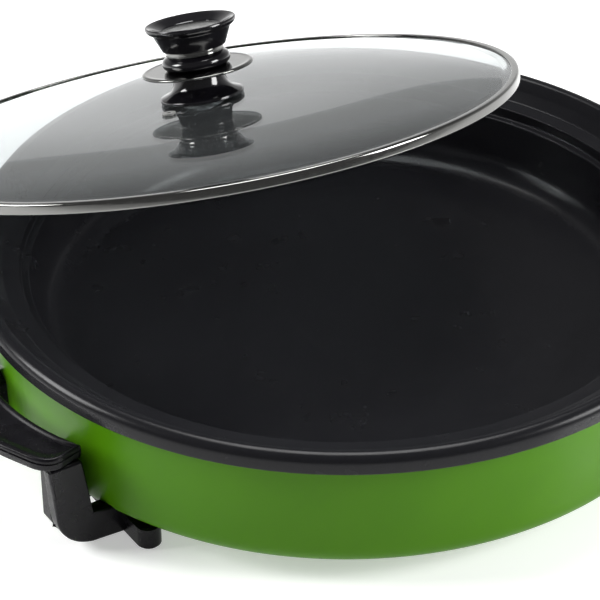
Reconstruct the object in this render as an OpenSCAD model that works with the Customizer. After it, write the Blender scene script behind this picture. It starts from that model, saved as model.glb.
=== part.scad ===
// Electric griddle pan: a round non-stick pan in a coloured casing, with a
// handle and a leg frame on each side, a heating ring underneath, an inlet
// for a plug-in thermostat probe and a loose glass lid.
// The origin is on the pan's axis, on the surface that the feet stand on.

/* [Pan] */
// Outer radius of the rim
rim_r = 215; // [205:1:260]
// Height of the rim's crest above the table
rim_top = 93; // [88:1:130]
// Height of the rim's upright outer face, with its rounded top
rim_h = 11; // [8:0.5:16]
// Width of the rim from its outer face to the first line inside it
rim_w = 13.5; // [12:0.5:20]
// Width of the sloping ledge inside the rim
ledge_w = 6.5; // [4:0.5:12]
// How far the ledge falls towards the middle
ledge_fall = 5; // [2:0.5:8]
// Wall thickness of the pan
pan_wall = 3; // [2:0.1:5]
// Thickness of the pan's floor
floor_t = 4; // [3:0.1:8]
// Depth of the cooking floor below the rim's crest
pan_depth = 52; // [35:1:60]
// How far the pan's wall leans in on its way down
wall_lean = 8; // [2:1:20]
// Radius of the curve between wall and floor
floor_curve = 14; // [8:1:20]

/* [Casing] */
// Gap between the rim's outer face and the casing
casing_inset = 8; // [6:0.5:14]
// How much narrower the casing is at its foot
casing_taper = 2; // [0:0.5:10]
// Sheet thickness of the casing
casing_t = 1.5; // [1:0.1:3]
// Radius of the casing's lower corner
casing_corner = 14; // [8:1:20]
// Width of the flange that turns in under the rim
casing_flange = 6; // [4:0.5:10]
// Clear height under the casing
ground_gap = 13; // [10:1:25]
// Radius of the opening in the casing's bottom
casing_hole_r = 140; // [100:1:150]

/* [Base cover] */
// Overlap of the base cover on the casing's bottom
cover_lap = 10; // [6:1:20]
// Sheet thickness of the base cover
cover_t = 1.2; // [0.8:0.1:2]
// Number of screws round the base cover
cover_screws_n = 6; // [3:1:12]

/* [Heating] */
// Radius of the heating ring
ring_r = 110; // [90:1:120]
// Diameter of the heating tube
tube_d = 7.5; // [6:0.5:9]
// Distance between the two terminal pins
pin_pitch = 32; // [30:1:40]
// Diameter of a terminal pin
pin_d = 4.8; // [4:0.1:6]
// How far the terminal pins stand out of the casing
pin_reach = 20; // [14:1:22]
// Bore of the probe guide
probe_bore = 6.6; // [6:0.1:8]
// Wall thickness of the probe guide
guide_wall = 1.2; // [0.8:0.1:1.6]
// Radius of the plate that presses the ring to the pan
clamp_r = 125; // [118:1:130]
// Thickness of that plate
clamp_t = 1.5; // [1:0.1:3]
// Diameter of the studs on the pan's underside
stud_d = 5; // [4:0.5:8]
// Radius of the circle that the studs stand on
stud_circle = 60; // [40:1:80]

/* [Inlet] */
// Width of the inlet shroud
shroud_w = 52; // [48:1:60]
// Height of the inlet shroud
shroud_h = 25; // [22:1:30]
// How far the shroud stands out of the casing
shroud_reach = 26; // [22:1:30]
// Wall thickness of the shroud
shroud_wall = 3; // [2:0.5:4]

/* [Handles] */
// Distance from the casing to the outer edge of a grip
grip_reach = 42; // [36:1:60]
// Half length of the straight middle of a grip's outer edge
grip_straight = 26; // [10:1:40]
// Half length of a grip over its ends
grip_half = 68.5; // [64:0.5:90]
// How far a grip's outer edge falls back towards its ends
grip_slant = 18.5; // [0:1:24]
// Radius of the corners at a grip's ends
grip_corner = 10; // [4:0.5:12]
// Height of a grip's top above the table
grip_top = 65; // [60:1:76]
// Thickness of a grip at its edge
grip_t = 8; // [6:0.5:12]
// Width of the finger gap between casing and grip
finger_gap = 15; // [12:1:25]
// Radius of the bow that a grip's inner edge follows
finger_bow = 140; // [100:5:210]
// Width of the raised edge round a grip's dished top
grip_lip = 9; // [6:0.5:12]
// Depth of the dish in a grip's top
grip_dish = 1.6; // [0.8:0.1:3]

/* [Leg frames] */
// How far the legs stand out of the casing at their top
leg_reach = 22; // [18:1:30]
// Distance from the middle to the outer face of each leg
leg_half = 66; // [60:1:80]
// Width of each leg
leg_w = 9; // [7:1:20]
// Depth of each leg at its top, from its inner to its outer edge
leg_depth = 20; // [16:0.5:26]
// How far a leg leans in on its way down
leg_lean = 5; // [0:0.5:8]
// Radius of the rounded lower corner of a leg
leg_corner = 24; // [14:1:26]
// Radius of the leg's upright edges
leg_edge = 3; // [1:0.5:4]
// Width of the cross bar under the casing
bar_w = 14; // [13:1:20]
// Half length of the cross bar under the casing
bar_half = 88; // [70:1:90]
// Distance from the casing's side to the cross bar
bar_inset = 20; // [18:1:32]
// Diameter of a foot pad
pad_d = 12; // [8:1:12]
// How far a foot pad stands proud of the frame
pad_proud = 1; // [0.5:0.1:3]

/* [Lid] */
// Outer radius of the lid's steel band
lid_r = 184; // [176:1:230]
// Thickness of the glass
glass_t = 5; // [4:0.5:6]
// Sheet thickness of the band
band_t = 0.8; // [0.6:0.1:1.2]
// Width of the band's lips over the glass
band_lip = 4.5; // [3:0.5:8]
// How far the glass rises to its middle
glass_rise = 9; // [5:0.5:30]
// Gap all round between the band and the pan when the lid is down
lid_gap = 0.8; // [0.5:0.1:2]
// Distance of the steam vent from the lid's middle
vent_at = 38; // [34:1:120]
// Direction of the steam vent, 0 is the lid's low side
vent_turn = 126; // [0:1:360]
// Bore of the steam vent
vent_bore = 3; // [3:0.5:6]

/* [Lid pose] */
// Lean of the lid as it lies across the rim
lid_tilt = 19; // [15:0.5:22]
// Direction in which the lid leans down
lid_turn = 84; // [0:1:360]
// Place of the middle of the band's lower edge, along x
lid_x = -30; // [-40:1:0]
// The same place along y
lid_y = 101; // [90:1:110]
// The same place above the table
lid_z = 124.5; // [120:0.5:200]

/* [Knob] */
// Radius of the knob's foot on the glass
knob_foot_r = 24.5; // [20:0.5:30]
// Height of the knob's foot and neck
knob_neck_h = 16.5; // [12:0.5:24]
// Radius of the neck
knob_neck_r = 15; // [12:0.5:18]
// Radius of the steel hand guard
guard_r = 33; // [28:0.5:40]
// Radius of the ring above the guard
collar_r = 20; // [17:0.5:24]
// Height of that ring
collar_h = 8.5; // [6:0.5:12]
// Thickness of the steel ring under the cup
spacer_h = 3; // [1.5:0.5:5]
// Height of the cup on top
cup_h = 16; // [12:0.5:24]
// Radius of the cup's lip
cup_r = 26.8; // [24:0.2:32]
// Radius of the cup's foot
cup_foot_r = 18.5; // [16:0.5:22]
// Diameter of the screw that holds the knob
knob_screw_d = 6; // [5:0.5:8]

/* [Hidden] */

$fn = 96;

charcoal = [0.13, 0.13, 0.14];
leaf_green = [0.38, 0.55, 0.16];
steel = [0.75, 0.76, 0.78];
black_resin = [0.09, 0.09, 0.1];
rubber = [0.05, 0.05, 0.05];
ceramic = [0.92, 0.9, 0.84];
silicone = [0.8, 0.8, 0.78];

// Screws: shank and head sizes of the M4 screws used throughout
screw_d = 4;
head_d = 7.6;
head_h = 2.6;
screw_play = 0.4;

// Rim and ledge
rim_round = rim_h / 2;
rim_foot = rim_top - rim_h;
crest_r = rim_r - rim_round;
line_r = rim_r - rim_w;
line_z = rim_top - rim_round - 0.2;
ledge_r = line_r - ledge_w;
ledge_z = line_z - ledge_fall;

// Seat for the lid, just under the ledge
seat_r = min(lid_r + lid_gap, ledge_r - 3);
band_h = glass_t + 2 * band_t;
seat_drop = band_h;
seat_z = ledge_z - seat_drop;
seat_w = band_lip;
wall_r = seat_r - seat_w;
floor_z = rim_top - pan_depth;
under_z = floor_z - floor_t;

// Casing
casing_r = rim_r - casing_inset;
casing_foot_r = casing_r - casing_taper;
casing_z = ground_gap;
casing_corner_r = casing_foot_r - casing_corner;

// Base cover
cover_r = casing_hole_r + cover_lap;
cover_z = casing_z + casing_t;
cover_screw_r = casing_hole_r + cover_lap / 2;

// Heating ring, pressed to the underside of the pan
ring_z = under_z - tube_d / 2;
bend_r = 2 * tube_d;
bend_x = sqrt(pow(ring_r + bend_r, 2) - pow(pin_pitch / 2 + bend_r, 2));
ring_gap = atan2(pin_pitch / 2 + bend_r, bend_x);
clamp_z = under_z - tube_d - clamp_t;
nut_h = 4;
nut_d = 9;
pin_tip = casing_r + pin_reach;
shroud_back = casing_r + shroud_wall;
insulator_d = pin_d + 5;
insulator_l = 10;
insulator_x = shroud_back - insulator_l;
pin_neck_d = pin_d - 0.6;
guide_d = probe_bore + 2 * guide_wall;
guide_in = wall_r - wall_lean - floor_curve / 2;
guide_out = casing_r + 4;

// Inlet shroud
shroud_z = ring_z - shroud_h / 2;
shroud_end = casing_r + shroud_reach;
shroud_screw_y = pin_pitch / 4;
shroud_screw_z = ring_z + shroud_h / 2 - shroud_wall - head_d / 2 - 0.4;

// Handles
grip_z = grip_top - grip_t;
grip_end = casing_r + grip_reach;
grip_in = casing_r - 2;
leg_end = casing_r + leg_reach;
leg_z = pad_proud;
boss_w = 14;
leg_axis_u = leg_end - 12;
leg_axis_v = leg_half - leg_w - boss_w / 2 + 1;
leg_foot = 20;
bar_out = casing_r - bar_inset;
bar_screw_u = bar_out - bar_w / 2;
bar_screw_v = 40;
pad_recess = 2;
hub_in = 32;
hub_out = 46;
hub_h = 48;
frame_screw_turn = 11;
frame_screw_z = 28;
frame_screw_l = 8;
plate_turn = 4;
plate_h = 22;
plate_t = 2;

// Lid, in its own frame: z = 0 is the band's lower edge
glass_r = lid_r - band_t;
glass_z = band_t;
dome_r = lid_r - band_lip - 2.5;
flat_r = knob_foot_r + 1;
apex_z = glass_z + glass_t + glass_rise;
apex_under = glass_z + glass_rise;
dome_steps = 18;

// Knob, stacked on the glass
gasket_t = 1;
gasket_r = 12;
glass_hole_r = 6;
foot_z = apex_z + gasket_t;
guard_t = 1.4;
guard_z = foot_z + knob_neck_h;
collar_z = guard_z + guard_t;
spacer_z = collar_z + collar_h;
spacer_r = collar_r - 3;
cup_z = spacer_z + spacer_h;
insert_r = 17.5;
insert_t = 1.5;
insert_drop = 4;
washer_t = 1.5;
washer_r = 12;
washer_z = apex_under - gasket_t - washer_t;
screw_play_r = knob_screw_d / 2 + 0.3;

// Points of an arc round c, from angle a to angle b
function arc(c, r, a, b, n = 8) =
    [for (i = [0 : n]) let (t = a + (b - a) * i / n) [c[0] + r * cos(t), c[1] + r * sin(t)]];
// Height of the dome as a share of its rise, at the share t of the way from its flat middle
function dome(t) = 1 - 0.1 * pow(t, 2) - 0.9 * pow(t, 4);
// One surface of the glass from the middle out to the flat edge, starting at height z
function dome_line(z) = concat([[0, z + glass_rise]], [for (i = [0 : dome_steps])
    let (t = i / dome_steps) [flat_r + t * (dome_r - flat_r), z + glass_rise * dome(t)]]);
// Unit vector
function unit(v) = v / norm(v);
// Outline with corner i rounded to radii[i]
function rounded(pts, radii, n = 8) = [for (i = [0 : len(pts) - 1])
    let (p = pts[i], r = radii[i], a = unit(pts[(i + len(pts) - 1) % len(pts)] - p),
        b = unit(pts[(i + 1) % len(pts)] - p), half = acos(a * b) / 2,
        c = p + unit(a + b) * r / sin(half), from = a * r / tan(half) + p - c, to = b * r / tan(half) + p - c)
    each (r == 0 ? [p] : [for (k = [0 : n]) c + r * unit(from * (n - k) + to * k)])];
// Convex outline moved in by d all round
function moved_in(pts, d) = [for (i = [0 : len(pts) - 1])
    let (p = pts[i], a = unit(pts[(i + len(pts) - 1) % len(pts)] - p), b = unit(pts[(i + 1) % len(pts)] - p))
    p + unit(a + b) * d / sin(acos(a * b) / 2)];
function backwards(list) = [for (i = [len(list) - 1 : -1 : 0]) list[i]];

// Puts a part of the right-hand handle on side s, 1 for right and -1 for left
module side(s) { rotate([0, 0, s > 0 ? 0 : 180]) children(); }
// Puts a part on the lid, as the lid lies across the rim
module lid_place() {
    translate([lid_x, lid_y, lid_z]) rotate([0, 0, lid_turn]) rotate([0, lid_tilt, 0]) children();
}
// A rod along +x from x0 to x1
module rod_x(x0, x1, d) { translate([x0, 0, 0]) rotate([0, 90, 0]) cylinder(d = d, h = x1 - x0); }
// A ring between two radii
module ring(r_in, r_out, h) {
    difference() {
        cylinder(r = r_out, h = h);
        translate([0, 0, -1]) cylinder(r = r_in, h = h + 2);
    }
}
// A screw that points up from z = 0, with its head below
module screw_up(l, d = screw_d) {
    cylinder(d = d, h = l);
    translate([0, 0, -head_h]) difference() {
        cylinder(d = head_d * d / screw_d, h = head_h);
        translate([0, 0, -1]) cylinder(d = 3 * d / screw_d, h = 1 + head_h * 0.6, $fn = 6);
    }
}

// Outline of the pan's wall, from the axis out, with its rim
module pan_profile() {
    c = floor_curve;
    foot_r = wall_r - wall_lean;
    lean = atan2(wall_lean, seat_z - floor_z);
    inner = concat(
        [[0, floor_z]],
        arc([foot_r - c, floor_z + c], c, -90, -lean, 8),
        [[wall_r, seat_z], [seat_r, seat_z], [seat_r + 1, ledge_z - 0.8], [ledge_r, ledge_z],
            [line_r, line_z]],
        backwards(arc([crest_r, rim_top - rim_round], rim_round, 0, 128, 14)));
    outer = concat(
        [[rim_r, rim_foot], [ledge_r + pan_wall, rim_foot], [seat_r + pan_wall, seat_z - pan_wall],
            [wall_r + pan_wall, seat_z - pan_wall]],
        backwards(arc([foot_r - c, floor_z + c], c + pan_wall + 0.5, -82, -lean, 8)),
        [[foot_r - c, under_z], [0, under_z]]);
    polygon(concat(inner, outer));
}
module pan() { color(charcoal) rotate_extrude($fn = 180) pan_profile(); }
module pan_studs() {
    color(steel) for (i = [0 : 2]) rotate([0, 0, 60 + 120 * i])
        translate([stud_circle, 0, cover_z - nut_h - 1]) cylinder(d = stud_d, h = under_z - cover_z + nut_h + 1);
}

// Outside of the casing, as a solid of revolution
module casing_envelope(grow = 0) {
    rotate_extrude($fn = 180) casing_outline(grow);
}
module casing_outline(grow = 0) {
    r = casing_corner + grow;
    polygon(concat(
        [[0, casing_z - grow]],
        arc([casing_corner_r, casing_z + casing_corner], r, -90, 0, 10),
        [[casing_r + grow, rim_foot], [0, rim_foot]]));
}
module outer_casing() {
    color(leaf_green) difference() {
        rotate_extrude($fn = 180) difference() {
            casing_outline();
            difference() {
                casing_outline(-casing_t);
                translate([0, rim_foot - casing_t]) square([rim_r, casing_t + 1]);
            }
            square([casing_hole_r, rim_foot - 2 * casing_t]);
            translate([0, rim_foot - 2 * casing_t]) square([casing_r - casing_flange, 3 * casing_t]);
        }
        for (y = [-1, 1]) translate([0, y * pin_pitch / 2, ring_z])
            rod_x(insulator_x - 10, casing_r + 10, insulator_d);
        translate([0, 0, ring_z]) rod_x(insulator_x - 10, casing_r + 10, guide_d);
        for (y = [-1, 1]) translate([0, y * shroud_screw_y, shroud_screw_z])
            rod_x(insulator_x - 10, casing_r + 10, screw_d);
        for (s = [-1, 1]) side(s) {
            for (t = [-1, 1]) rotate([0, 0, t * frame_screw_turn])
                translate([0, 0, frame_screw_z]) rod_x(casing_r - 10, casing_r + 10, screw_d);
            for (t = [-1, 1]) translate([bar_screw_u, t * bar_screw_v, 0])
                cylinder(d = screw_d, h = casing_z + casing_t + 1);
        }
        cover_screw_places() translate([0, 0, -1]) cylinder(d = screw_d + screw_play, h = casing_z + 5);
    }
}
module cover_screw_places() {
    for (i = [0 : cover_screws_n - 1]) rotate([0, 0, 360 * (i + 0.5) / cover_screws_n])
        translate([cover_screw_r, 0, 0]) children();
}
module base_cover() {
    color(steel) difference() {
        translate([0, 0, cover_z]) cylinder(r = cover_r, h = cover_t, $fn = 180);
        for (i = [0 : 2]) rotate([0, 0, 60 + 120 * i])
            translate([stud_circle, 0, 0]) cylinder(d = stud_d + screw_play, h = cover_z + 5);
        cover_screw_places() cylinder(d = screw_d, h = cover_z + 5);
    }
}
module cover_screws() {
    color(steel) cover_screw_places() translate([0, 0, casing_z]) screw_up(casing_t + cover_t + 2);
}

module heating_ring() {
    color(steel) translate([0, 0, ring_z]) rotate([0, 0, ring_gap])
        rotate_extrude(angle = 360 - 2 * ring_gap, $fn = 180)
            translate([ring_r, 0]) circle(d = tube_d, $fn = 32);
}
// Bends that lead the ring's ends out towards the inlet
module ring_bends() {
    color(steel) for (y = [0, 1]) mirror([0, y, 0])
        translate([bend_x, pin_pitch / 2 + bend_r, ring_z]) rotate([0, 0, 180 + ring_gap])
            rotate_extrude(angle = 90 - ring_gap)
                translate([bend_r, 0]) circle(d = tube_d, $fn = 32);
}
// Straight unheated ends of the ring
module cold_ends() {
    color(steel) for (y = [-1, 1]) translate([0, y * pin_pitch / 2, ring_z])
        rod_x(bend_x, insulator_x, tube_d);
}
module terminal_pins() {
    color(steel) for (y = [-1, 1]) translate([0, y * pin_pitch / 2, ring_z]) {
        rod_x(insulator_x, shroud_back, pin_neck_d);
        rod_x(shroud_back, pin_tip - pin_d / 2, pin_d);
        translate([pin_tip - pin_d / 2, 0, 0]) sphere(d = pin_d, $fn = 48);
    }
}
module pin_insulators() {
    color(ceramic) for (y = [-1, 1]) translate([0, y * pin_pitch / 2, ring_z]) difference() {
        rod_x(insulator_x, insulator_x + insulator_l, insulator_d);
        rod_x(insulator_x - 1, insulator_x + insulator_l + 1, pin_neck_d);
    }
}
module probe_guide() {
    color(steel) translate([0, 0, ring_z]) difference() {
        rod_x(guide_in, guide_out, guide_d);
        rod_x(guide_in + 2, guide_out + 1, probe_bore);
    }
}
module clamp_plate() {
    color(steel) difference() {
        translate([0, 0, clamp_z]) cylinder(r = clamp_r, h = clamp_t, $fn = 180);
        for (i = [0 : 2]) rotate([0, 0, 60 + 120 * i]) translate([stud_circle, 0, clamp_z - 1])
            cylinder(d = stud_d + screw_play, h = clamp_t + 2);
    }
}
module nuts(z) {
    for (i = [0 : 2]) rotate([0, 0, 60 + 120 * i]) translate([stud_circle, 0, z]) difference() {
        cylinder(d = nut_d, h = nut_h, $fn = 6);
        translate([0, 0, -1]) cylinder(d = stud_d, h = nut_h + 2);
    }
}
module clamp_nuts() { color(steel) nuts(clamp_z - nut_h); }
module cover_nuts() { color(steel) nuts(cover_z - nut_h); }

// Open box round the pins, between the legs of the right-hand frame
module inlet_shroud() {
    color(black_resin) difference() {
        translate([casing_r - 12, -shroud_w / 2, shroud_z])
            cube([shroud_end - casing_r + 12, shroud_w, shroud_h]);
        casing_envelope();
        translate([shroud_back, -shroud_w / 2 + shroud_wall, shroud_z + shroud_wall])
            cube([shroud_reach, shroud_w - 2 * shroud_wall, shroud_h - 2 * shroud_wall]);
        for (y = [-1, 1]) translate([0, y * pin_pitch / 2, ring_z])
            rod_x(casing_r - 20, shroud_back + 1, insulator_d);
        translate([0, 0, ring_z]) rod_x(casing_r - 20, shroud_back + 1, guide_d);
        for (y = [-1, 1]) translate([0, y * shroud_screw_y, shroud_screw_z])
            rod_x(casing_r - 20, shroud_back + 1, screw_d);
    }
}
module shroud_screws() {
    color(steel) for (y = [-1, 1]) translate([shroud_back, y * shroud_screw_y, shroud_screw_z])
        rotate([0, -90, 0]) screw_up(shroud_back - insulator_x - 2);
}

// Plan of a grip; inset draws it smaller all round
module grip_plan(inset = 0) {
    corner_u = grip_end - grip_slant;
    half = [[grip_end, grip_straight], [corner_u, grip_half], [grip_in, grip_half - 7.5]];
    outline = concat([for (p = backwards(half)) [p[0], -p[1]]], half);
    k = grip_corner - min(inset, grip_corner - 1);
    difference() {
        polygon(rounded(moved_in(outline, inset), [0, k, 24, 24, k, 0]));
        translate([casing_r + finger_gap - finger_bow, 0]) circle(r = finger_bow + inset, $fn = 180);
    }
}
module grip() {
    difference() {
        translate([0, 0, grip_z]) linear_extrude(grip_t) grip_plan();
        translate([0, 0, grip_top - grip_dish]) linear_extrude(grip_dish + 1) grip_plan(grip_lip);
        for (v = [-1, 1]) translate([leg_axis_u, v * leg_axis_v, grip_z - 1])
            cylinder(d = screw_d, h = 1 + grip_t - grip_dish - 1);
    }
}
module left_grip() { color(black_resin) side(-1) grip(); }
module right_grip() { color(black_resin) side(1) grip(); }

// Plan of one leg, from under the casing outwards
module leg_plan() {
    polygon(rounded([[bar_out - bar_w, leg_half - leg_w], [leg_end, leg_half - leg_w], [leg_end, leg_half],
        [bar_out - bar_w, leg_half]], [0, leg_edge, leg_edge, 0]));
}
// Side view of a leg: a leaning upright on a foot that turns in under the casing
module leg_side() {
    foot_u = leg_end - leg_lean;
    polygon(rounded([[bar_out - bar_w - 1, leg_z], [foot_u, leg_z], [leg_end, grip_z], [leg_end - leg_depth, grip_z],
        [foot_u - leg_depth, leg_foot], [bar_out - bar_w - 1, leg_foot]], [0, leg_corner, 0, 0, 0, 0], 16));
}
// Two legs on a bar under the casing. Behind each leg a hub is screwed to the casing's side and a
// boss takes the screw that holds the grip.
module leg_frame() {
    bar_r = bar_w / 2;
    difference() {
        union() {
            intersection() {
                translate([0, 0, leg_z]) linear_extrude(grip_z - leg_z) {
                    leg_plan();
                    mirror([0, 1]) leg_plan();
                }
                rotate([90, 0, 0]) translate([0, 0, -100]) linear_extrude(200) leg_side();
            }
            translate([0, 0, leg_z]) linear_extrude(casing_z - leg_z) {
                translate([bar_out - bar_w, -bar_half + bar_r]) square([bar_w, 2 * (bar_half - bar_r)]);
                for (v = [-1, 1]) translate([bar_out - bar_r, v * (bar_half - bar_r)]) circle(r = bar_r);
            }
            for (v = [0, 1]) mirror([0, v, 0]) {
                translate([casing_r - 12, hub_in, leg_foot - 6])
                    cube([leg_axis_u - casing_r + 12, hub_out - hub_in, hub_h - leg_foot + 6]);
                translate([leg_axis_u - boss_w / 2, leg_axis_v - boss_w / 2, leg_foot - 6])
                    cube([boss_w, boss_w, grip_z - leg_foot + 6]);
            }
        }
        casing_envelope();
        for (v = [-1, 1]) {
            translate([leg_axis_u, v * leg_axis_v, 0]) {
                translate([0, 0, -1]) cylinder(d = head_d + screw_play, h = grip_z - 12 + 1);
                cylinder(d = screw_d + screw_play, h = grip_z + 1);
            }
            translate([bar_screw_u, v * bar_screw_v, 0]) {
                translate([0, 0, -1]) cylinder(d = head_d + screw_play, h = leg_z + head_h + 3);
                cylinder(d = screw_d + screw_play, h = casing_z + 2);
            }
            rotate([0, 0, v * frame_screw_turn]) translate([0, 0, frame_screw_z])
                rod_x(casing_r - 10, casing_r + frame_screw_l, screw_d);
        }
        pad_places() translate([0, 0, -1]) cylinder(d = pad_d, h = leg_z + pad_recess + 1);
    }
}
module pad_places() {
    for (v = [-1, 1]) translate([bar_out - bar_w / 2, v * (bar_half - bar_w / 2), 0]) children();
}
module left_leg_frame() { color(black_resin) side(-1) leg_frame(); }
module right_leg_frame() { color(black_resin) side(1) leg_frame(); }

module grip_screws() {
    for (v = [-1, 1]) translate([leg_axis_u, v * leg_axis_v, grip_z - 12]) screw_up(12 + grip_t - grip_dish - 2);
}
module left_grip_screws() { color(steel) side(-1) grip_screws(); }
module right_grip_screws() { color(steel) side(1) grip_screws(); }

// Curved plates inside the casing that spread the pull of the frame screws
module backing_plates() {
    for (v = [-1, 1]) difference() {
        rotate([0, 0, v * frame_screw_turn - plate_turn]) translate([0, 0, frame_screw_z - plate_h / 2])
            rotate_extrude(angle = 2 * plate_turn, $fn = 180) difference() {
                translate([casing_foot_r - casing_t - plate_t - 0.5, 0]) square([plate_t + 6, plate_h]);
                translate([0, casing_z - frame_screw_z + plate_h / 2]) plate_cut();
            }
        rotate([0, 0, v * frame_screw_turn]) translate([0, 0, frame_screw_z])
            rod_x(casing_r - 20, casing_r + 5, screw_d);
    }
}
// What lies outside the casing's inner face, from the casing's foot up
module plate_cut() {
    difference() {
        square([rim_r, rim_foot]);
        translate([0, -casing_z]) casing_outline(-casing_t);
    }
}
module left_backing_plates() { color(steel) side(-1) backing_plates(); }
module right_backing_plates() { color(steel) side(1) backing_plates(); }

module frame_screws() {
    for (v = [-1, 1]) rotate([0, 0, v * frame_screw_turn])
        translate([casing_foot_r - casing_t - plate_t - 0.6, 0, frame_screw_z]) rotate([0, 90, 0])
            screw_up(casing_r + frame_screw_l - casing_foot_r + casing_t + plate_t + 0.6);
}
module left_frame_screws() { color(steel) side(-1) frame_screws(); }
module right_frame_screws() { color(steel) side(1) frame_screws(); }

module bar_screws() {
    for (v = [-1, 1]) translate([bar_screw_u, v * bar_screw_v, leg_z + head_h + 2])
        screw_up(casing_z + casing_t - leg_z - head_h - 2);
}
module left_bar_screws() { color(steel) side(-1) bar_screws(); }
module right_bar_screws() { color(steel) side(1) bar_screws(); }

module foot_pads() { pad_places() cylinder(d = pad_d, h = leg_z + pad_recess); }
module left_foot_pads() { color(rubber) side(-1) foot_pads(); }
module right_foot_pads() { color(rubber) side(1) foot_pads(); }

// Glass dome with a flat edge that the band holds
module lid_glass() {
    color([0.8, 0.85, 0.87, 0.4]) lid_place() difference() {
        rotate_extrude($fn = 180) polygon(concat(
            dome_line(glass_z + glass_t),
            [[glass_r, glass_z + glass_t], [glass_r, glass_z]],
            backwards(dome_line(glass_z))));
        cylinder(r = glass_hole_r, h = apex_z + 5);
        rotate([0, 0, vent_turn]) translate([vent_at, 0, 0]) cylinder(d = vent_bore + 2, h = apex_z + 5);
    }
}
module lid_band() {
    color(steel) lid_place() {
        difference() {
            cylinder(r = lid_r, h = band_h, $fn = 180);
            translate([0, 0, band_t]) cylinder(r = glass_r, h = glass_t, $fn = 180);
            translate([0, 0, -1]) cylinder(r = lid_r - band_lip, h = band_h + 2, $fn = 180);
        }
    }
}
module vent_grommet() {
    z = glass_z + glass_rise * dome((vent_at - flat_r) / (dome_r - flat_r));
    color(silicone) lid_place() rotate([0, 0, vent_turn]) translate([vent_at, 0, z - 1.5]) difference() {
        union() {
            cylinder(d = vent_bore + 2, h = glass_t + 3);
            cylinder(d = vent_bore + 5, h = 1);
            translate([0, 0, glass_t + 2]) cylinder(d = vent_bore + 5, h = 1);
        }
        translate([0, 0, -1]) cylinder(d = vent_bore, h = glass_t + 5);
    }
}

module knob_foot() {
    color(black_resin) lid_place() translate([0, 0, foot_z]) difference() {
        rotate_extrude() polygon(concat(
            [[0, 0], [knob_foot_r, 0], [knob_foot_r, 2]],
            backwards(arc([knob_foot_r, 2 + knob_foot_r - knob_neck_r], knob_foot_r - knob_neck_r - 1, 180, 262, 8)),
            [[knob_neck_r, knob_neck_h - 2], [knob_neck_r + 1.5, knob_neck_h], [0, knob_neck_h]]));
        translate([0, 0, -1]) cylinder(r = screw_play_r, h = knob_neck_h + 2);
    }
}
module knob_guard() {
    color(steel) lid_place() translate([0, 0, guard_z]) difference() {
        union() {
            cylinder(r = guard_r - guard_t, h = guard_t);
            rotate_extrude() translate([guard_r - guard_t, guard_t / 2]) circle(r = guard_t, $fn = 24);
        }
        translate([0, 0, -1]) cylinder(r = screw_play_r, h = guard_t + 2);
    }
}
module knob_collar() {
    color(black_resin) lid_place() translate([0, 0, collar_z]) difference() {
        rotate_extrude() union() {
            square([collar_r - collar_h / 2, collar_h]);
            translate([collar_r - collar_h / 2, collar_h / 2]) intersection() {
                circle(d = collar_h, $fn = 48);
                translate([0, -collar_h]) square([collar_h, 2 * collar_h]);
            }
        }
        translate([0, 0, -1]) cylinder(r = screw_play_r, h = collar_h + 2);
    }
}
module knob_spacer() {
    color(steel) lid_place() translate([0, 0, spacer_z]) ring(screw_play_r, spacer_r, spacer_h);
}
module knob_cup() {
    color(black_resin) lid_place() translate([0, 0, cup_z]) difference() {
        rotate_extrude() polygon(concat(
            [[0, 0], [cup_foot_r, 0], [cup_foot_r + 0.8, 1]],
            [[cup_r - 3.6, cup_h - 5], [cup_r - 1.5, cup_h - 4]],
            arc([cup_r - 1.2, cup_h - 1.6], 1.2, -60, 90, 5),
            [[cup_r - 3, cup_h - 0.8], [insert_r, cup_h - insert_drop], [insert_r, cup_h - insert_drop - insert_t],
                [0, cup_h - insert_drop - insert_t]]));
        translate([0, 0, -1]) cylinder(d = knob_screw_d, h = cup_h - insert_drop - insert_t - 1);
    }
}
module knob_insert() {
    color(steel) lid_place() translate([0, 0, cup_z + cup_h - insert_drop - insert_t])
        cylinder(r = insert_r, h = insert_t);
}
module knob_screw() {
    color(steel) lid_place() translate([0, 0, washer_z])
        screw_up(cup_z + cup_h - insert_drop - insert_t - 2 - washer_z, knob_screw_d);
}
module knob_washer() {
    color(steel) lid_place() translate([0, 0, washer_z]) ring(screw_play_r, washer_r, washer_t);
}
module knob_gaskets() {
    color(silicone) lid_place() {
        translate([0, 0, apex_under - gasket_t]) ring(screw_play_r, gasket_r, gasket_t);
        translate([0, 0, apex_z]) ring(screw_play_r, gasket_r, gasket_t);
    }
}

pan();
pan_studs();
outer_casing();
base_cover();
cover_screws();
heating_ring();
ring_bends();
cold_ends();
terminal_pins();
pin_insulators();
probe_guide();
clamp_plate();
clamp_nuts();
cover_nuts();
inlet_shroud();
shroud_screws();
left_grip();
right_grip();
left_leg_frame();
right_leg_frame();
left_grip_screws();
right_grip_screws();
left_backing_plates();
right_backing_plates();
left_frame_screws();
right_frame_screws();
left_bar_screws();
right_bar_screws();
left_foot_pads();
right_foot_pads();
lid_glass();
lid_band();
vent_grommet();
knob_foot();
knob_guard();
knob_collar();
knob_spacer();
knob_cup();
knob_insert();
knob_screw();
knob_washer();
knob_gaskets();
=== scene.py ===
"""Looks of an electric griddle pan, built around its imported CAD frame."""

import math
import bmesh
import bpy
import numpy as np
from mathutils import Matrix, Vector


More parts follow.
